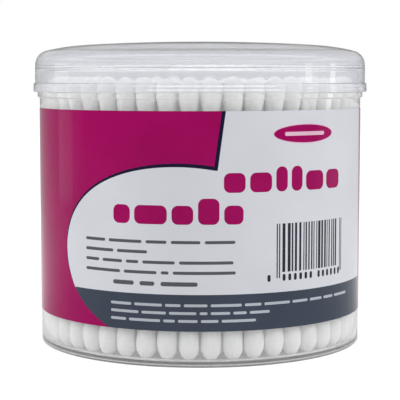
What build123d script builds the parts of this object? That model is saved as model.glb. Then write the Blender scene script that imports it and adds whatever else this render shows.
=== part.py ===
from build123d import *
from math import asin, atan2, cos, degrees, pi
import os

# A clear round tub of cotton swabs: a moulded tub with a ledge and a neck, a domed lid that pushes
# onto the neck, a film label wrapped round the wall, and the swabs, which stand in rings in the tub.
# Millimetres, +Z up. The origin is on the tub's axis, in the plane of the foot ring that it stands on.

# Tub
tub_radius = 44.85  # outside of the straight wall
tub_wall = 1.25
floor_thickness = 0.9
foot_height = 0.4  # the foot ring lifts the floor this far off the table
foot_width = 3.0
base_chamfer = 0.6
inside_chamfer = 0.8  # corner between floor and wall
rim_chamfer = 0.3

# Ledge that the lid comes down on, and the neck above it
neck_height = 5.9  # from the ledge's top to the tub's open rim
ledge_reach = 0.6  # how far it stands out of the wall
ledge_depth = 1.5
ledge_chamfer = 0.4
neck_step = 0.3  # the neck is this much slimmer than the wall, on the radius

# Lid
lid_clearance = 0.3  # between the neck and the lid's skirt, on the radius
lid_wall = 1.2
lid_headroom = 4.6  # from the tub's rim to the corner where the lid's wall and shoulder would meet
shoulder_width = 13.0  # the sloping shoulder round the dome
shoulder_drop = 2.3
dome_rise = 1.0
lid_round = 3.9  # outer radius between wall and shoulder
bead_reach = 0.55  # the bead round the skirt's lower edge stands this far out
bead_height = 2.4
bead_chamfer = 0.3

# Label
label_thickness = 0.1
label_gap = 0.05  # adhesive between the wall and the film
label_bottom = 9.4  # from the table to the label's lower edge
label_margin = 2.9  # from the label's upper edge to the ledge
label_seam = 0.6  # gap between the label's two ends, at the back

# Swabs, with six-sided sections drawn inside the round ones: each radius goes out to the corners
swab_sides = 6
swab_length = 72.5  # the tub's height follows from it
stick_radius = 1.25
tip_radius = 2.7
tip_end_radius = 1.6
tip_length = 14.0  # cotton, from the swab's end to the bare stick
tip_fullest = 4.0  # from the end to where the cotton is fullest
rim_over_tips = 1.6  # the rim stands this far above the tips
wall_gap = 0.15  # between the outer ring's tips and the tub's wall
tip_gap = 0.1  # least room between one tip and the next in a ring
ring_gap = 0.8  # between one ring's tips and the next ring's

# Sizes that follow from these
inner_radius = tub_radius - tub_wall
floor_level = foot_height + floor_thickness
rim_height = floor_level + swab_length + rim_over_tips
ledge_height = rim_height - neck_height
ledge_underside = ledge_height - ledge_depth
foot_radius = tub_radius - base_chamfer - foot_width
ledge_radius = tub_radius + ledge_reach
neck_radius = tub_radius - neck_step
lid_radius = neck_radius + lid_clearance + lid_wall
lid_corner = rim_height + lid_headroom
dome_radius = lid_radius - shoulder_width
dome_edge = lid_corner + shoulder_drop
crown = dome_edge + dome_rise
label_height = ledge_underside - label_margin - label_bottom
outer_ring = inner_radius - wall_gap - tip_radius
tip_pitch = 2 * tip_radius + tip_gap
ring_pitch = 2 * tip_radius + ring_gap


# Tub: one moulded piece, turned from its half section
with BuildPart() as tub:
    with BuildSketch(Plane.XZ) as tub_section:
        with BuildLine():
            Polyline(
                (0, foot_height),
                (foot_radius, foot_height),
                (foot_radius, 0),
                (tub_radius, 0),
                (tub_radius, ledge_underside),
                (ledge_radius, ledge_underside),
                (ledge_radius, ledge_height),
                (neck_radius, ledge_height),
                (neck_radius, rim_height),
                (inner_radius, rim_height),
                (inner_radius, floor_level),
                (0, floor_level),
                close=True,
            )
        make_face()
        chamfers = {
            (tub_radius, 0): base_chamfer,
            (ledge_radius, ledge_underside): ledge_chamfer,
            (neck_radius, rim_height): rim_chamfer,
            (inner_radius, floor_level): inside_chamfer,
        }
        for corner, length in chamfers.items():
            chamfer(tub_section.vertices().sort_by_distance(corner)[0], length)
    revolve(axis=Axis.Z)
tub.part.label = "tub"

# Lid: a shell with a low dome, a sloping shoulder and a round corner, and a bead round its lower edge
with BuildPart() as lid:
    with BuildSketch(Plane.XZ) as lid_section:
        with BuildLine():
            dome = TangentArc((0, crown), (dome_radius, dome_edge), tangent=(1, 0))
            TangentArc((dome_radius, dome_edge), (lid_radius, lid_corner), tangent=dome % 1)
            Polyline(
                (lid_radius, lid_corner),
                (lid_radius, ledge_height),
                (0, ledge_height),
                (0, crown),
            )
        make_face()
        fillet(lid_section.vertices().sort_by_distance((lid_radius, lid_corner))[0], lid_round)
    revolve(axis=Axis.Z)
    offset(amount=-lid_wall, openings=lid.faces().sort_by(Axis.Z)[0])
    with BuildSketch(Plane.XY.offset(ledge_height)):
        Circle(lid_radius + bead_reach)
        Circle(lid_radius - lid_wall / 2, mode=Mode.SUBTRACT)
    extrude(amount=bead_height)
    bead_edges = lid.edges(Select.LAST).filter_by(GeomType.CIRCLE)
    chamfer(bead_edges.sort_by(SortBy.RADIUS)[-2:], bead_chamfer)
lid.part.label = "lid"

# Label: a film round the wall, with its two ends nearly meeting at the back
with BuildPart() as label:
    with BuildSketch(Plane.XY.offset(label_bottom)):
        Circle(tub_radius + label_gap + label_thickness)
        Circle(tub_radius + label_gap, mode=Mode.SUBTRACT)
        Rectangle(label_seam, 2 * tub_radius, align=(Align.CENTER, Align.MIN), mode=Mode.SUBTRACT)
    extrude(amount=label_height)
label.part.label = "label"

# Swab: a stick with a cotton tip at each end. Each length narrows upwards, and the mirror image of
# the lengths, about the swab's middle, completes both tips and the stick.
swab_lengths = [
    (tip_fullest, tip_radius, tip_length, stick_radius),
    (tip_length, stick_radius, swab_length / 2, stick_radius),
    (swab_length - tip_fullest, tip_radius, swab_length, tip_end_radius),
]
with BuildPart() as swab:
    for low, low_radius, high, high_radius in swab_lengths:
        with BuildSketch(Plane.XY.offset(floor_level + low)):
            RegularPolygon(low_radius, swab_sides)
        narrowing = (low_radius - high_radius) * cos(pi / swab_sides)
        extrude(amount=high - low, taper=degrees(atan2(narrowing, high - low)))
    mirror(about=Plane.XY.offset(floor_level + swab_length / 2))


def swabs_in_ring(radius):
    """How many tips fit side by side in a ring of this radius."""
    return int(pi / asin(tip_pitch / (2 * radius)))


os.makedirs("parts", exist_ok=True)
for piece in (tub, lid, label):
    export_step(piece.part, f"parts/{piece.part.label}.step")

# The outer ring shows through the tub's wall, so each of its swabs is a piece of its own
outer_count = swabs_in_ring(outer_ring)
for number in range(outer_count):
    with BuildPart() as outer_swab:
        with PolarLocations(outer_ring, 1, start_angle=number * 360 / outer_count):
            add(swab.part)
    outer_swab.part.label = f"swab_{number + 1:02d}"
    export_step(outer_swab.part, f"parts/{outer_swab.part.label}.step")

# Each inner ring is one group of separate swabs
inner_ring = outer_ring - ring_pitch
ring_number = 2
while inner_ring > tip_pitch / 2:
    with BuildPart() as ring:
        with PolarLocations(inner_ring, swabs_in_ring(inner_ring)):
            add(swab.part)
    ring.part.label = f"swab_ring_{ring_number}"
    export_step(ring.part, f"parts/{ring.part.label}.step")
    inner_ring -= ring_pitch
    ring_number += 1
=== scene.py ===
import random
from math import asin, atan2, cos, pi, radians, sin, sqrt, tan

import bpy
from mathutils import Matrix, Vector
from mathutils.geometry import delaunay_2d_cdt


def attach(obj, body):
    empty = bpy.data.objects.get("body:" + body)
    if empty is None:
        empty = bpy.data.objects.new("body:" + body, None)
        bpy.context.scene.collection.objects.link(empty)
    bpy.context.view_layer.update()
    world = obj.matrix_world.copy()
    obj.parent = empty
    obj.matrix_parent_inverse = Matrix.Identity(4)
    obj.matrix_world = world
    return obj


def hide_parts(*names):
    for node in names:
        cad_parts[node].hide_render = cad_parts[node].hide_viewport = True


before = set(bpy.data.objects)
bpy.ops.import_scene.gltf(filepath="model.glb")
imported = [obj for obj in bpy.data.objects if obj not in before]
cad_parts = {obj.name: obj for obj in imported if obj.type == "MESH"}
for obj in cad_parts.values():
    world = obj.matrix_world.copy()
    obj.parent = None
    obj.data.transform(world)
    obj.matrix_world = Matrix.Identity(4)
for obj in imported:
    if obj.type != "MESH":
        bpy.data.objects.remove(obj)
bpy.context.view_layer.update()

# A clear tub of cotton swabs, dressed for a picture. The object's lengths are in millimetres, in the
# part's own frame: +Z up, origin on the tub's axis in the plane that it stands on, front towards -Y.
# The lamps, the camera and the distances in the stage's materials are in metres.
MM = 0.001
random.seed(11)

# Tub
tub_radius = 44.85  # outside of the straight wall
tub_wall = 1.25
floor_thickness = 0.9
foot_height = 0.4  # the foot ring lifts the floor this far off the table
foot_radius = 41.25  # inside of the foot ring
ledge_top = 69.5  # the lid comes down on it
ledge_depth = 1.5
ledge_reach = 0.6  # how far it stands out of the wall
neck_step = 0.3  # the neck above it is this much slimmer than the wall, on the radius
rim_height = 75.4
frosted_rise = 0.5  # the frosted floor goes this far up into the corner inside

# Lid
lid_clearance = 0.3  # between the neck and the lid's skirt, on the radius
lid_wall = 1.2
lid_corner = 80.0  # where the lid's wall and shoulder would meet
shoulder_width = 13.0
shoulder_drop = 2.3
dome_rise = 1.0
lid_round = 3.9  # outer radius between wall and shoulder
bead_reach = 0.55
bead_height = 2.4
rib_middle = 76.3  # a low rib round the inside of the lid's wall, just above the tub's rim
rib_half = 0.45
rib_reach = 0.25
bead_steps = (70.1, 71.05)  # heights where the bead's face steps in, upwards, by a hair
wall_steps = (75.2, 76.05)  # the same on the wall's outside
step_height = 0.45
step_depth = 0.03

# Roundings of the moulded edges
foot_round = 0.15
base_round = 0.7
inside_round = 0.9  # between the tub's floor and its wall
rim_round = 0.4
edge_round = 0.3  # on the ledge's underside and the bead
fine_round = 0.2  # on the ledge's top and the skirt, and in the hollow corners
rib_round = 0.1
step_round = 2.0

# Label, laid flat: distances to the right of the middle of the front, and heights
label_gap = 0.05  # adhesive between the wall and the film
label_thickness = 0.1
label_low = 9.4
label_high = 65.1
label_seam = 0.6  # between the film's two ends, at the back

# Swabs, which stand in rings; the outermost ring shows through the tub's wall
swab_length = 72.5
stick_radius = 1.2
tip_radius = 2.7
tip_length = 14.0  # cotton, from the swab's end to the bare stick
tip_fullest = 4.5  # from the end to where the cotton is fullest
tip_bulge = 2.4  # powers of the tip's rounded end, which is an ellipse at 2 and 0.5
tip_bluntness = 0.45
cotton_edge = 0.1  # the cotton stops this far out from the stick
wall_gap = 0.15  # between the outermost ring's tips and the tub's wall
tip_gap = 0.1  # least room between one tip and the next in a ring
ring_gap = 0.8  # between one ring's tips and the next ring's
slimmest = 0.96  # least share of its full width that a swab is wound to
uneven = 0.6  # swabs of a ring differ in length by up to this
inner_drop = 1.0  # inner swabs are this much shorter
most_lean = 0.015  # share of its ring's radius that a swab's head leans in by, at most
lumps = [(0.018, 2, 0.5), (0.012, 3, -0.9), (0.012, 0, 1.1)]  # share of radius, waves round, turn a mm
outer_sides = 28
inner_sides = 16

# Sizes that follow from these
inner_radius = tub_radius - tub_wall
floor_level = foot_height + floor_thickness
ledge_underside = ledge_top - ledge_depth
ledge_radius = tub_radius + ledge_reach
neck_radius = tub_radius - neck_step
lid_radius = neck_radius + lid_clearance + lid_wall
skirt_radius = lid_radius - lid_wall
dome_radius = lid_radius - shoulder_width
dome_edge = lid_corner + shoulder_drop
crown = dome_edge + dome_rise
bead_radius = lid_radius + bead_reach
bead_top = ledge_top + bead_height
lower_wall_radius = lid_radius + step_depth * len(wall_steps)
label_inside = tub_radius + label_gap
label_outside = label_inside + label_thickness
label_half = pi * label_outside - label_seam / 2
outer_ring = inner_radius - wall_gap - tip_radius
ring_pitch = 2 * tip_radius + ring_gap
tip_pitch = 2 * tip_radius + tip_gap


# Materials
colour_span = (0.35, 0.65)  # stretch of the noise over which a colour drifts
roughness_span = (0.3, 0.7)  # and over which a roughness does


def new_material(name, colour, roughness):
    """A material with one Principled shader; returns the material, its nodes, its links and the shader."""
    material = bpy.data.materials.new(name)
    material.use_nodes = True
    nodes = material.node_tree.nodes
    shader = nodes["Principled BSDF"]
    shader.inputs["Base Color"].default_value = (*colour, 1)
    shader.inputs["Roughness"].default_value = roughness
    return material, nodes, material.node_tree.links, shader


def noise_node(nodes, links, scale, detail):
    """Noise in the object's own space; scale is in features a metre."""
    place = nodes.new("ShaderNodeTexCoord")
    noise = nodes.new("ShaderNodeTexNoise")
    noise.inputs["Scale"].default_value = scale
    noise.inputs["Detail"].default_value = detail
    links.new(place.outputs["Object"], noise.inputs["Vector"])
    return noise


def vary_colour(nodes, links, shader, noise, low, high):
    """Colour that drifts between two tones with the noise."""
    ramp = nodes.new("ShaderNodeValToRGB")
    for stop, position, tone in zip(ramp.color_ramp.elements, colour_span, (low, high)):
        stop.position = position
        stop.color = (*tone, 1)
    links.new(noise.outputs["Fac"], ramp.inputs["Fac"])
    links.new(ramp.outputs["Color"], shader.inputs["Base Color"])


def vary_roughness(nodes, links, shader, noise, low, high):
    """Roughness that drifts between two values with the noise."""
    spread = nodes.new("ShaderNodeMapRange")
    spread.inputs["From Min"].default_value = roughness_span[0]
    spread.inputs["From Max"].default_value = roughness_span[1]
    spread.inputs["To Min"].default_value = low
    spread.inputs["To Max"].default_value = high
    links.new(noise.outputs["Fac"], spread.inputs["Value"])
    links.new(spread.outputs["Result"], shader.inputs["Roughness"])


def add_bump(nodes, links, shader, noise, strength, depth):
    """Relief from the noise; depth is in millimetres."""
    bump = nodes.new("ShaderNodeBump")
    bump.inputs["Strength"].default_value = strength
    bump.inputs["Distance"].default_value = depth * MM
    links.new(noise.outputs["Fac"], bump.inputs["Height"])
    links.new(bump.outputs["Normal"], shader.inputs["Normal"])


def grade(nodes, links, value, start, end, low, high):
    """A smooth change from low to high as value goes from start to end."""
    spread = nodes.new("ShaderNodeMapRange")
    spread.interpolation_type = "SMOOTHSTEP"
    spread.inputs["From Min"].default_value = start
    spread.inputs["From Max"].default_value = end
    spread.inputs["To Min"].default_value = low
    spread.inputs["To Max"].default_value = high
    links.new(value, spread.inputs["Value"])
    return spread.outputs["Result"]


def maths(nodes, links, operation, a, b):
    """One step of arithmetic on two sockets."""
    step = nodes.new("ShaderNodeMath")
    step.operation = operation
    links.new(a, step.inputs[0])
    links.new(b, step.inputs[1])
    return step.outputs["Value"]


def clear_plastic(name, tint, clearness, smoothest, roughest):
    """Clear moulded plastic, a little hazy, that lets light through to what is inside it."""
    material, nodes, links, shader = new_material(name, tint, roughest)
    shader.inputs["Transmission Weight"].default_value = clearness
    shader.inputs["IOR"].default_value = 1.57
    flow = noise_node(nodes, links, scale=45, detail=1)
    vary_roughness(nodes, links, shader, flow, smoothest, roughest)
    open_shader = nodes.new("ShaderNodeBsdfTransparent")
    open_shader.inputs["Color"].default_value = (1, 1, 1, 1)
    path = nodes.new("ShaderNodeLightPath")
    lets_by = maths(nodes, links, "MAXIMUM", path.outputs["Is Shadow Ray"], path.outputs["Is Diffuse Ray"])
    mix = nodes.new("ShaderNodeMixShader")
    links.new(lets_by, mix.inputs["Fac"])
    links.new(shader.outputs["BSDF"], mix.inputs[1])
    links.new(open_shader.outputs["BSDF"], mix.inputs[2])
    links.new(mix.outputs["Shader"], nodes["Material Output"].inputs["Surface"])
    return material


def printed_film(name, colour, drift=0.06):
    """Glossy printed film, its ink a little uneven and its face very slightly wavy."""
    smoothest = 0.07
    roughest = 0.12
    material, nodes, links, shader = new_material(name, colour, roughest)
    shader.inputs["Specular IOR Level"].default_value = 0.14
    wave = noise_node(nodes, links, scale=60, detail=2)
    low = tuple(c * (1 - drift) for c in colour)
    high = tuple(min(1, c * (1 + drift)) for c in colour)
    vary_colour(nodes, links, shader, wave, low, high)
    vary_roughness(nodes, links, shader, wave, smoothest, roughest)
    add_bump(nodes, links, shader, wave, strength=0.03, depth=0.1)
    return material


def cotton_wool():
    """Wound white cotton: matt, fibrous, with light going a little way in."""
    darkest = (0.84, 0.84, 0.84)
    lightest = (0.9, 0.9, 0.895)
    material, nodes, links, shader = new_material("cotton", lightest, roughness=0.95)
    shader.inputs["Subsurface Weight"].default_value = 0.25
    shader.inputs["Subsurface Radius"].default_value = (1, 1, 1)
    shader.inputs["Subsurface Scale"].default_value = 0.8 * MM
    shader.inputs["Sheen Weight"].default_value = 0.25
    shader.inputs["Sheen Roughness"].default_value = 0.5
    shader.inputs["Specular IOR Level"].default_value = 0.15
    fibre = noise_node(nodes, links, scale=1400, detail=5)
    vary_colour(nodes, links, shader, fibre, darkest, lightest)
    add_bump(nodes, links, shader, fibre, strength=0.5, depth=0.25)
    return material


def paper_stick():
    """Rolled white paper."""
    darkest = (0.76, 0.76, 0.74)
    lightest = (0.82, 0.82, 0.8)
    material, nodes, links, shader = new_material("paper_stick", lightest, roughness=0.7)
    grain = noise_node(nodes, links, scale=900, detail=3)
    vary_colour(nodes, links, shader, grain, darkest, lightest)
    add_bump(nodes, links, shader, grain, strength=0.2, depth=0.05)
    return material


tub_plastic = clear_plastic(
    "clear_tub", tint=(0.95, 0.955, 0.955), clearness=0.9, smoothest=0.04, roughest=0.08
)
base_plastic = clear_plastic(
    "frosted_base", tint=(0.88, 0.885, 0.885), clearness=0.75, smoothest=0.2, roughest=0.3
)
lid_plastic = clear_plastic(
    "clear_lid", tint=(0.9, 0.908, 0.945), clearness=0.895, smoothest=0.015, roughest=0.035
)
cotton = cotton_wool()
paper = paper_stick()
inks = {
    "magenta": printed_film("ink_magenta", (0.335, 0.002, 0.1)),
    "white": printed_film("ink_white", (0.66, 0.673, 0.72), drift=0.02),
    "grey": printed_film("ink_dark_grey", (0.052, 0.065, 0.092)),
    "navy": printed_film("ink_navy", (0.012, 0.008, 0.035)),
    "pink": printed_film("ink_pink", (0.76, 0.5, 0.63)),
    "text": printed_film("ink_text", (0.03, 0.03, 0.045)),
    "pale": printed_film("ink_pale", (0.45, 0.48, 0.53)),
    "small": printed_film("ink_small_print", (0.1, 0.1, 0.12)),
}


# Meshes
def make_object(name, verts, faces, materials, face_materials=None):
    """A smooth-shaded object from points in millimetres."""
    mesh = bpy.data.meshes.new(name)
    mesh.from_pydata([(x * MM, y * MM, z * MM) for x, y, z in verts], [], faces)
    for material in materials:
        mesh.materials.append(material)
    if face_materials:
        mesh.polygons.foreach_set("material_index", face_materials)
    mesh.shade_smooth()
    mesh.update()
    thing = bpy.data.objects.new(name, mesh)
    bpy.context.scene.collection.objects.link(thing)
    return thing


def rounded(corners, steps=6):
    """The outline through corners of (radius, height, rounding), as a list of (point, normal).

    The outline runs with the solid on its left, and its normals point out of the solid.
    """
    points = [Vector((r, z)) for r, z, _ in corners]
    runs = [(b - a).normalized() for a, b in zip(points, points[1:])]
    outline = [(points[0], Vector((runs[0].y, -runs[0].x)))]
    for point, (_, _, rounding), before, after in zip(points[1:-1], corners[1:-1], runs, runs[1:]):
        turn = -before.angle_signed(after)
        start_normal = Vector((before.y, -before.x))
        side = 1 if turn > 0 else -1
        reach = rounding * tan(abs(turn) / 2)
        centre = point - before * reach - start_normal * rounding * side
        count = steps if rounding else 0
        for step in range(count + 1):
            angle = turn * (step / count if count else 0.5)
            normal = Vector((
                start_normal.x * cos(angle) - start_normal.y * sin(angle),
                start_normal.x * sin(angle) + start_normal.y * cos(angle),
            ))
            outline.append((centre + normal * rounding * side, normal))
    outline.append((points[-1], Vector((runs[-1].y, -runs[-1].x))))
    return outline


def lathe(name, outline, materials, is_second=None, segments=256):
    """Turns an outline, which starts and ends on the axis, into a closed solid of revolution.

    Where is_second holds for both ends of a stretch of the outline, it takes the second material.
    """
    verts = []
    normals = []
    starts = []
    last = len(outline) - 1
    for row, (point, normal) in enumerate(outline):
        starts.append(len(verts))
        count = 1 if row in (0, last) else segments
        for step in range(count):
            angle = 2 * pi * step / segments
            verts.append((point.x * cos(angle), point.x * sin(angle), point.y))
            normals.append((normal.x * cos(angle), normal.x * sin(angle), normal.y))
    faces = []
    face_materials = []
    for row in range(last):
        low = starts[row]
        high = starts[row + 1]
        second = is_second and is_second(outline[row][0]) and is_second(outline[row + 1][0])
        for step in range(segments):
            following = (step + 1) % segments
            face_materials.append(1 if second else 0)
            if row == 0:
                faces.append((low, high + following, high + step))
            elif row + 1 == last:
                faces.append((low + step, low + following, high))
            else:
                faces.append((low + step, low + following, high + following, high + step))
    thing = make_object(name, verts, faces, materials, face_materials)
    thing.data.normals_split_custom_set_from_vertices(normals)
    return thing


# Tub, from the middle of its underside out, up the wall and back down inside
def in_tub_floor(point):
    """Whether a point of the tub's outline belongs to its frosted floor."""
    return point.x < inner_radius and point.y < floor_level + frosted_rise


tub = lathe("clear_tub_shell", rounded([
    (0, foot_height, 0),
    (foot_radius, foot_height, foot_round),
    (foot_radius, 0, foot_round),
    (tub_radius, 0, base_round),
    (tub_radius, ledge_underside, fine_round),
    (ledge_radius, ledge_underside, edge_round),
    (ledge_radius, ledge_top, fine_round),
    (neck_radius, ledge_top, fine_round),
    (neck_radius, rim_height, rim_round),
    (inner_radius, rim_height, rim_round),
    (inner_radius, floor_level, inside_round),
    (0, floor_level, 0),
]), [tub_plastic, base_plastic], in_tub_floor)
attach(tub, "tub")
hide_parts("tub")


# Lid, from the middle of the dome's underside out, down inside the skirt, round the bead and back
# over the top
def lid_top(inset, rounding, dome_steps=12, shoulder_steps=6):
    """Corners of the lid's top, from the axis out to the wall.

    They are those of the surface that lies this far inside the outer one.
    """
    dome_bend = (dome_radius ** 2 + dome_rise ** 2) / (2 * dome_rise)
    edge_slope = asin(dome_radius / dome_bend)
    wall_slope = 2 * atan2(shoulder_drop, shoulder_width) - edge_slope
    shoulder_bend = shoulder_width / (sin(wall_slope) - sin(edge_slope))
    middle = (dome_radius - shoulder_bend * sin(edge_slope), dome_edge - shoulder_bend * cos(edge_slope))
    round_slope = asin((lid_radius - lid_round - middle[0]) / shoulder_bend)
    corners = []
    for step in range(dome_steps + 1):
        slope = edge_slope * step / dome_steps
        height = crown - dome_bend + (dome_bend - inset) * cos(slope)
        corners.append(((dome_bend - inset) * sin(slope), height, 0))
    for step in range(1, shoulder_steps + 1):
        slope = edge_slope + (round_slope - edge_slope) * step / shoulder_steps
        height = middle[1] + (shoulder_bend - inset) * cos(slope)
        corners.append((middle[0] + (shoulder_bend - inset) * sin(slope), height, 0))
    wall = lid_radius - inset
    meeting = middle[1] + sqrt((shoulder_bend - inset) ** 2 - (wall - middle[0]) ** 2)
    return corners + [(wall, meeting, rounding)]


def stepped(radius, heights):
    """Corners of an upright face that steps in a little, upwards, at each of these heights."""
    corners = []
    for height in heights:
        corners.append((radius, height, step_round))
        radius -= step_depth
        corners.append((radius, height + step_height, step_round))
    return corners


lid = lathe("clear_lid_shell", rounded(
    lid_top(lid_wall, lid_round - lid_wall)
    + [
        (skirt_radius, rib_middle + rib_half, rib_round),
        (skirt_radius - rib_reach, rib_middle + rib_half / 2, rib_round),
        (skirt_radius - rib_reach, rib_middle - rib_half / 2, rib_round),
        (skirt_radius, rib_middle - rib_half, rib_round),
        (skirt_radius, ledge_top, fine_round),
        (bead_radius, ledge_top, edge_round),
    ]
    + stepped(bead_radius, bead_steps)
    + [
        (bead_radius - step_depth * len(bead_steps), bead_top, edge_round),
        (lower_wall_radius, bead_top, fine_round),
    ]
    + stepped(lower_wall_radius, wall_steps)
    + lid_top(0, lid_round)[::-1],
    steps=8,
), [lid_plastic])
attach(lid, "lid")
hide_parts("lid")


# Swabs
def tip_profile(cap_steps=8, taper_steps=8):
    """Distance from the swab's end and radius, from just off the end to where the cotton stops."""
    profile = []
    for step in range(1, cap_steps + 1):
        along = tip_fullest * (1 - cos(pi / 2 * step / cap_steps))
        profile.append((along, tip_radius * (1 - (1 - along / tip_fullest) ** tip_bulge) ** tip_bluntness))
    for step in range(1, taper_steps + 1):
        share = step / taper_steps
        ease = share * share * (3 - 2 * share)
        radius = tip_radius + (stick_radius + cotton_edge - tip_radius) * ease
        profile.append((tip_fullest + (tip_length - tip_fullest) * share, radius))
    return profile


def swab_rings(length):
    """Height above the floor, radius and whether it is cotton, from the swab's lower end up."""
    tip = tip_profile()
    low = [(along, radius, True) for along, radius in tip]
    stick = [(tip_length, stick_radius, False), (length - tip_length, stick_radius, False)]
    high = [(length - along, radius, True) for along, radius in tip[::-1]]
    return low + stick + high


def add_swab(verts, faces, face_materials, ring_radius, ring_angle, sides, longest):
    """Adds one standing swab: no two tips are wound quite alike, and each leans as far as it has room."""
    first = len(verts)
    phases = [random.uniform(0, 2 * pi) for _ in lumps]
    size = random.uniform(slimmest, 1)
    length = random.uniform(longest - uneven, longest)
    room = tip_radius * (1 - size)
    outward = Vector((cos(ring_angle), sin(ring_angle)))
    sideways = outward.orthogonal()
    foot = outward * ring_radius + sideways * random.uniform(-room, room) / 2
    inward_lean = random.uniform(0, most_lean) * ring_radius
    head = outward * (ring_radius - inward_lean) + sideways * random.uniform(-room, room)
    shape = swab_rings(length)
    verts.append((*foot, floor_level))
    for height, radius, is_cotton in shape:
        middle = foot.lerp(head, height / length)
        for side in range(sides):
            angle = 2 * pi * side / sides
            lump = 0
            if is_cotton:
                for (depth, waves, twist), phase in zip(lumps, phases):
                    lump += depth * sin(waves * angle + phase + twist * height)
            wide = radius * size * (1 + lump)
            verts.append((middle.x + wide * cos(angle), middle.y + wide * sin(angle), floor_level + height))
    verts.append((*head, floor_level + length))
    last = len(verts) - 1
    for side in range(sides):
        following = (side + 1) % sides
        faces.append((first, first + 1 + following, first + 1 + side))
        face_materials.append(0)
        for row in range(len(shape) - 1):
            low = first + 1 + row * sides
            high = low + sides
            faces.append((low + side, low + following, high + following, high + side))
            face_materials.append(0 if shape[row][2] and shape[row + 1][2] else 1)
        top = last - sides
        faces.append((top + side, top + following, last))
        face_materials.append(0)


def ring_of_swabs(name, radius, count, nodes, sides, longest):
    """One object holding a ring of standing swabs, in place of their CAD nodes."""
    verts = []
    faces = []
    face_materials = []
    for number in range(count):
        add_swab(verts, faces, face_materials, radius, 2 * pi * number / count, sides, longest)
    ring = make_object(name, verts, faces, [cotton, paper], face_materials)
    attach(ring, "tub")
    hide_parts(*nodes)


def swabs_in_ring(radius):
    """How many tips fit side by side in a ring of this radius."""
    return int(pi / asin(tip_pitch / (2 * radius)))


outer_count = swabs_in_ring(outer_ring)
outer_nodes = [f"swab_{number + 1:02d}" for number in range(outer_count)]
ring_of_swabs("cotton_swabs_1", outer_ring, outer_count, outer_nodes, outer_sides, swab_length)
inner_ring = outer_ring - ring_pitch
ring_number = 2
while inner_ring > tip_pitch / 2:
    ring_of_swabs(
        f"cotton_swabs_{ring_number}",
        inner_ring,
        swabs_in_ring(inner_ring),
        [f"swab_ring_{ring_number}"],
        inner_sides,
        swab_length - inner_drop,
    )
    inner_ring -= ring_pitch
    ring_number += 1


# Label print: flat outlines, each with its ink, later ones over earlier ones. Each one goes round
# anticlockwise.
prints = []


def arc(middle, half_wide, half_high, start, end, steps):
    """Points of an ellipse's arc, from one angle to another in degrees."""
    angles = [radians(start + (end - start) * step / steps) for step in range(steps + 1)]
    return [(middle[0] + half_wide * cos(a), middle[1] + half_high * sin(a)) for a in angles]


def ellipse(middle, half_wide, half_high, sides=60):
    """A whole ellipse."""
    return arc(middle, half_wide, half_high, 0, 360 - 360 / sides, sides - 1)


def rectangle(left, right, low, high):
    """An upright rectangle with sharp corners."""
    return [(left, low), (right, low), (right, high), (left, high)]


def block(left, right, low, high, rounding, steps=5):
    """An upright rectangle with round corners."""
    outline = []
    for u, z, start in (
        (right - rounding, low + rounding, -90),
        (right - rounding, high - rounding, 0),
        (left + rounding, high - rounding, 90),
        (left + rounding, low + rounding, 180),
    ):
        outline += arc((u, z), rounding, rounding, start, start + 90, steps)
    return outline


bar_rounding = 0.48  # of a small bar's shorter side, so that its ends are all but half circles


def add_words(ink, left, low, lengths, height, gap):
    """A row of bars that stands for a line of small print."""
    for length in lengths:
        rounding = min(length, height) * bar_rounding
        prints.append((ink, block(left, left + length, low, low + height, rounding)))
        left += length + gap


def add_heading(left, low, sizes, gap=1.2, rounding=1.6):
    """A row of bold blocks, given by width and height, that stands for one large word."""
    for wide, high in sizes:
        prints.append(("magenta", block(left, left + wide, low, low + high, rounding)))
        left += wide + gap


# White panel, with a slanted edge above and a curved one at its left, and the dark band across its foot
panel_middle = (-5.5, 29.5)
panel_half_wide = 34.9
panel_rise = 22.5  # the curve's reach above its middle
panel_fall = 24.0  # and below it
panel_right = 59.4
panel_foot = 236.9  # degrees round the curve to where it meets the label's lower edge
slant_foot = 74.5  # degrees round the curve to where the slant comes down to it
slant_top = (6.1, label_high)
band_top = 18.8
band_left = -36.6


def panel_curve(end, upper_steps, lower_steps):
    """The panel's curved edge, from the foot of the slant round to this angle."""
    upper = arc(panel_middle, panel_half_wide, panel_rise, slant_foot, 180, upper_steps)
    lower = arc(panel_middle, panel_half_wide, panel_fall, 180, end, lower_steps)
    return upper + lower[1:]


edge = panel_curve(panel_foot, upper_steps=32, lower_steps=16)
panel_corner = (edge[-1][0], label_low)
edge = edge[:-1]
band_edge = [point for point in edge if point[1] < band_top]
lower_right = (panel_right, label_low)
prints.append(("magenta", rectangle(-label_half, label_half, label_low, label_high)))
prints.append(("white", [slant_top] + edge + [panel_corner, lower_right, (panel_right, label_high)]))
prints.append(("grey", [(band_left, band_top)] + band_edge + [
    panel_corner,
    lower_right,
    (panel_right, band_top),
]))

# The dark line along the panel's edge, widest on the slant and thinning to nothing at the band
line_wide = 1.0
line_end = 206  # degrees round the curve
line_thinning = 0.7  # power by which its width falls off
line_outside = 0.6  # share of the slant's line that lies on the magenta's side
slant_foot_dip = 0.1  # the slant's line ends lower by this share of its width at its right
outer_line = panel_curve(line_end, upper_steps=40, lower_steps=10)
inner_line = []
for step, (u, z) in enumerate(outer_line):
    thin = line_wide * (1 - step / (len(outer_line) - 1)) ** line_thinning
    inward = (Vector(panel_middle) - Vector((u, z))).normalized() * thin
    inner_line.append((u + inward.x, z + inward.y))
line_foot = inner_line[0]
prints.append(("navy", outer_line + inner_line[:-1][::-1]))
prints.append(("navy", [
    (slant_top[0] - line_wide * line_outside, label_high),
    line_foot,
    (line_foot[0] + line_wide, line_foot[1] - line_wide * slant_foot_dip),
    (slant_top[0] + line_wide * (1 - line_outside), label_high),
]))

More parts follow.
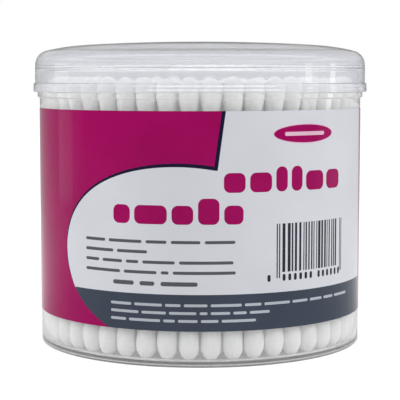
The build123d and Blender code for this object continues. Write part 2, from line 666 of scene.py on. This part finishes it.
# Oval badge with a thin pale rim and a bar across it
badge = (29.2, 59.2)
badge_bar_half = 6.7
badge_bar_height = 1.0
prints.append(("pink", ellipse(badge, half_wide=10.2, half_high=2.55)))
prints.append(("magenta", ellipse(badge, half_wide=9.9, half_high=2.3)))
add_words(
    "pink",
    badge[0] - badge_bar_half,
    badge[1] - badge_bar_height / 2,
    [2 * badge_bar_half],
    height=badge_bar_height,
    gap=0,
)

# Two bold headings, then rows of small print
upper_heading = [(5.6, 5.0), (6.0, 5.0), (3.4, 6.4), (3.5, 6.4), (6.4, 5.0), (5.8, 5.0)]
lower_heading = [(4.8, 4.8), (8.7, 4.8), (5.5, 4.8), (5.4, 6.6), (5.0, 4.8)]
add_heading(left=6.0, low=44.6, sizes=upper_heading)
add_heading(left=-23.1, low=36.6, sizes=lower_heading)

text_left = -32.2
text_high = 31.7
text_pitch = 2.6
text_rows = [
    [6.5, 9.5, 5.5, 7.5, 7.8],
    [9.0, 8.5],
    [4.5, 6.0, 3.5, 8.5, 13.8],
    [11.0, 9.0, 2.0, 16.0],
]
for number, lengths in enumerate(text_rows):
    low = text_high - number * text_pitch
    add_words("small", text_left, low, lengths, height=0.8, gap=1.1)
add_words("small", left=-23.3, low=20.9, lengths=[6.0, 4.0, 9.5], height=1.1, gap=1.6)

# Barcode: thick and thin bars between two pairs of longer thin ones, over a row of short blocks
thin_bar = 0.35
bar_widths = (thin_bar, 0.5, 0.7, 0.9)
bar_gaps = (thin_bar, thin_bar, 0.5, 0.7)
bar_low = 23.9
long_bar_low = 22.4
bar_high = 36.4
bar_left = 21.9
last_bar_left = 42.4
long_bar_lefts = (20.2, 20.9, 43.4, 44.1)
digit_groups = ((17.6, 1), (22.0, 6), (33.7, 6))  # where each group starts, and how many it has
digit_low = 21.6
digit_wide = 0.9
bars = [(left, thin_bar, long_bar_low) for left in long_bar_lefts]
while bar_left < last_bar_left:
    wide = random.choice(bar_widths)
    bars.append((bar_left, wide, bar_low))
    bar_left += wide + random.choice(bar_gaps)
for left, wide, low in bars:
    prints.append(("text", rectangle(left, left + wide, low, bar_high)))
for left, count in digit_groups:
    add_words("text", left, digit_low, [digit_wide] * count, height=1.8, gap=0.85)

# Rows of small print on the dark band
band_text_left = -24.0
band_text_high = 15.7
band_text_pitch = 2.0
band_rows = [
    [6.0, 7.5, 4.0, 6.0, 8.0, 4.5, 7.5, 5.0, 4.5, 4.0, 6.5],
    [8.0, 6.5, 7.0, 2.0, 5.0, 3.5, 5.5],
    [4.5, 8.5, 3.0, 5.0, 4.5, 9.0],
]
for number, lengths in enumerate(band_rows):
    low = band_text_high - number * band_text_pitch
    add_words("pale", band_text_left, low, lengths, height=0.7, gap=0.8)


def wrapped_label(name, strips=180):
    """The printed film: all outlines cut into one flat sheet, which is then wrapped round the tub."""
    points = []
    fields = []
    for _, outline in prints:
        fields.append(list(range(len(points), len(points) + len(outline))))
        points += [Vector(p) for p in outline]
    cuts = []
    for number in range(1, strips):
        u = -label_half + 2 * label_half * number / strips
        cuts.append((len(points), len(points) + 1))
        points += [Vector((u, label_low)), Vector((u, label_high))]
    inside_only = 1
    closeness = 1e-5
    with_sources = True
    flat, _, triangles, _, _, sources = delaunay_2d_cdt(
        points, cuts, fields, inside_only, closeness, with_sources
    )
    names = list(inks)
    count = len(flat)
    verts = []
    for radius in (label_outside, label_inside):
        for p in flat:
            angle = p.x / label_outside
            verts.append((radius * sin(angle), -radius * cos(angle), p.y))
    faces = []
    face_materials = []
    sides = {}
    for triangle, source in zip(triangles, sources):
        ink = names.index(prints[max(source)][0])
        faces.append(tuple(triangle))
        face_materials.append(ink)
        faces.append(tuple(count + i for i in reversed(triangle)))
        face_materials.append(names.index("white"))
        for a, b in zip(triangle, triangle[1:] + triangle[:1]):
            sides[(a, b)] = ink
    for (a, b), ink in sides.items():
        if (b, a) not in sides:
            faces.append((b, a, count + a, count + b))
            face_materials.append(ink)
    film = make_object(name, verts, faces, list(inks.values()), face_materials)
    outward = [Vector((x, y, 0)).normalized() for x, y, _ in verts]
    normals = outward[:count] + [-normal for normal in outward[count:]]
    film.data.normals_split_custom_set_from_vertices(normals)
    return film


label = wrapped_label("printed_label")
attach(label, "tub")
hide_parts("label")


# Stage: a white floor that keeps a soft shadow, with a painted shadow under the tub, and white all round it
def white_floor():
    """Pale floor: white to the eye and through the clear plastic, dark in front where gloss shows it. Under
    the tub and just round its foot its glow is painted down, a painted shadow there.
    """
    material, nodes, links, shader = new_material("white_floor", (0.3, 0.3, 0.3), roughness=0.8)
    grain = noise_node(nodes, links, scale=30, detail=2)
    vary_roughness(nodes, links, shader, grain, low=0.7, high=0.85)
    place = nodes.new("ShaderNodeTexCoord")
    split = nodes.new("ShaderNodeSeparateXYZ")
    links.new(place.outputs["Object"], split.inputs["Vector"])
    distance = nodes.new("ShaderNodeVectorMath")
    distance.operation = "LENGTH"
    links.new(place.outputs["Object"], distance.inputs[0])
    path = nodes.new("ShaderNodeLightPath")
    far = distance.outputs["Value"]
    seen = maths(nodes, links, "MAXIMUM", path.outputs["Is Camera Ray"], path.outputs["Is Transmission Ray"])
    # Painted shadow: the glow falls from 0.8 to 0.4 under the tub and just past its foot, and shows through
    # the tub's clear base as a dark line.
    painted_tub_shadow = grade(nodes, links, far, start=0.0435, end=0.0455, low=0.4, high=0.8)
    open_floor = grade(nodes, links, far, start=0.1, end=0.5, low=0, high=0.15)
    eye = maths(nodes, links, "MULTIPLY", seen, maths(nodes, links, "ADD", painted_tub_shadow, open_floor))
    beside = grade(nodes, links, split.outputs["Y"], start=-0.1, end=0.1, low=0, high=1)
    fading = grade(nodes, links, far, start=0.1, end=0.5, low=0.6, high=0.3)
    mirrored = maths(nodes, links, "MULTIPLY", beside, fading)
    gloss = maths(nodes, links, "MULTIPLY", path.outputs["Is Glossy Ray"], mirrored)
    bounce = grade(nodes, links, path.outputs["Is Diffuse Ray"], start=0, end=1, low=0, high=0.5)
    # The same painted shadow cuts the light that the floor throws up from under the tub.
    bounce = maths(nodes, links, "MULTIPLY", bounce, painted_tub_shadow)
    shown = maths(nodes, links, "MAXIMUM", eye, gloss)
    glow = nodes.new("ShaderNodeEmission")
    links.new(maths(nodes, links, "MAXIMUM", shown, bounce), glow.inputs["Strength"])
    both = nodes.new("ShaderNodeAddShader")
    links.new(shader.outputs["BSDF"], both.inputs[0])
    links.new(glow.outputs["Emission"], both.inputs[1])
    links.new(both.outputs["Shader"], nodes["Material Output"].inputs["Surface"])
    return material


def white_world():
    """White to the eye, greyer through the clear plastic, and graded in what gloss shows of it."""
    world = bpy.data.worlds.new("studio")
    world.use_nodes = True
    nodes = world.node_tree.nodes
    links = world.node_tree.links
    path = nodes.new("ShaderNodeLightPath")
    place = nodes.new("ShaderNodeTexCoord")
    split = nodes.new("ShaderNodeSeparateXYZ")
    links.new(place.outputs["Generated"], split.inputs["Vector"])
    sheet = grade(nodes, links, split.outputs["Z"], start=0.1, end=0.5, low=0.8, high=0.45)
    through = maths(nodes, links, "MULTIPLY", path.outputs["Is Transmission Ray"], sheet)
    seen = maths(nodes, links, "MAXIMUM", path.outputs["Is Camera Ray"], through)
    back = grade(nodes, links, split.outputs["Y"], start=-0.3, end=0.5, low=0.12, high=0.32)
    above = grade(nodes, links, split.outputs["Z"], start=0.1, end=0.3, low=0.75, high=1.6)
    mirrored = maths(nodes, links, "MULTIPLY", back, above)
    gloss = maths(nodes, links, "MULTIPLY", path.outputs["Is Glossy Ray"], mirrored)
    lit = grade(nodes, links, path.outputs["Is Diffuse Ray"], start=0, end=1, low=0, high=0.55)
    shown = maths(nodes, links, "MAXIMUM", seen, gloss)
    links.new(maths(nodes, links, "MAXIMUM", shown, lit), nodes["Background"].inputs["Strength"])
    nodes["Background"].inputs["Color"].default_value = (1, 1, 1, 1)
    return world


def softbox(name, place, wide, high, power, in_gloss):
    """A rectangular lamp that faces the tub: it either lights the object or only shows in its gloss.

    Places and sizes are in metres and power is in watts.
    """
    tub_middle = Vector((0, 0, 0.04))
    lamp = bpy.data.lights.new(name, "AREA")
    lamp.shape = "RECTANGLE"
    lamp.size = wide
    lamp.size_y = high
    lamp.energy = power
    thing = bpy.data.objects.new(name, lamp)
    thing.visible_glossy = in_gloss
    thing.visible_diffuse = not in_gloss
    thing.visible_transmission = False
    thing.location = place
    thing.rotation_euler = (tub_middle - Vector(place)).to_track_quat("-Z", "Y").to_euler()
    bpy.context.scene.collection.objects.link(thing)


floor_half = 3000  # in millimetres, as every mesh is
floor_corners = rectangle(-floor_half, floor_half, -floor_half, floor_half)
floor = make_object("floor", [(x, y, 0) for x, y in floor_corners], [(0, 1, 2, 3)], [white_floor()])
bpy.context.scene.world = white_world()

softbox("front", place=(0.2, -0.85, 0.55), wide=1.6, high=0.4, power=2.2, in_gloss=False)
softbox("top", place=(0, 0.1, 0.9), wide=0.8, high=0.8, power=4.2, in_gloss=False)
softbox("left_side", place=(-0.8, -0.15, 0.45), wide=0.6, high=0.6, power=2.8, in_gloss=False)
softbox("right_side", place=(0.8, -0.15, 0.45), wide=0.6, high=0.6, power=2.6, in_gloss=False)
softbox("front_card", place=(0.1, -0.85, 0.38), wide=3.2, high=0.2, power=1.2, in_gloss=True)
softbox("low_front_card", place=(0.1, -0.9, 0.187), wide=3.2, high=0.04, power=1.2, in_gloss=True)
softbox("left_card", place=(-0.459, 0.122, 0.048), wide=0.135, high=0.096, power=0.0246, in_gloss=True)
softbox("right_strip", place=(0.49, -0.13, 0.0735), wide=0.05, high=0.047, power=0.0158, in_gloss=True)
softbox("right_back_strip", place=(0.5, 0.07, 0.0735), wide=0.05, high=0.047, power=0.0141, in_gloss=True)

# Camera, at the photograph's height and distance
camera_distance = 0.3825
camera_height = 0.0736
camera_tilt = 84.8  # degrees up from straight down
camera = bpy.data.cameras.new("camera")
camera.sensor_width = 36
camera.lens = 121.7
view = bpy.data.objects.new("camera", camera)
view.location = (0, -camera_distance, camera_height)
view.rotation_euler = (radians(camera_tilt), 0, 0)
bpy.context.scene.collection.objects.link(view)
bpy.context.scene.camera = view
bpy.context.scene.view_settings.view_transform = "Standard"
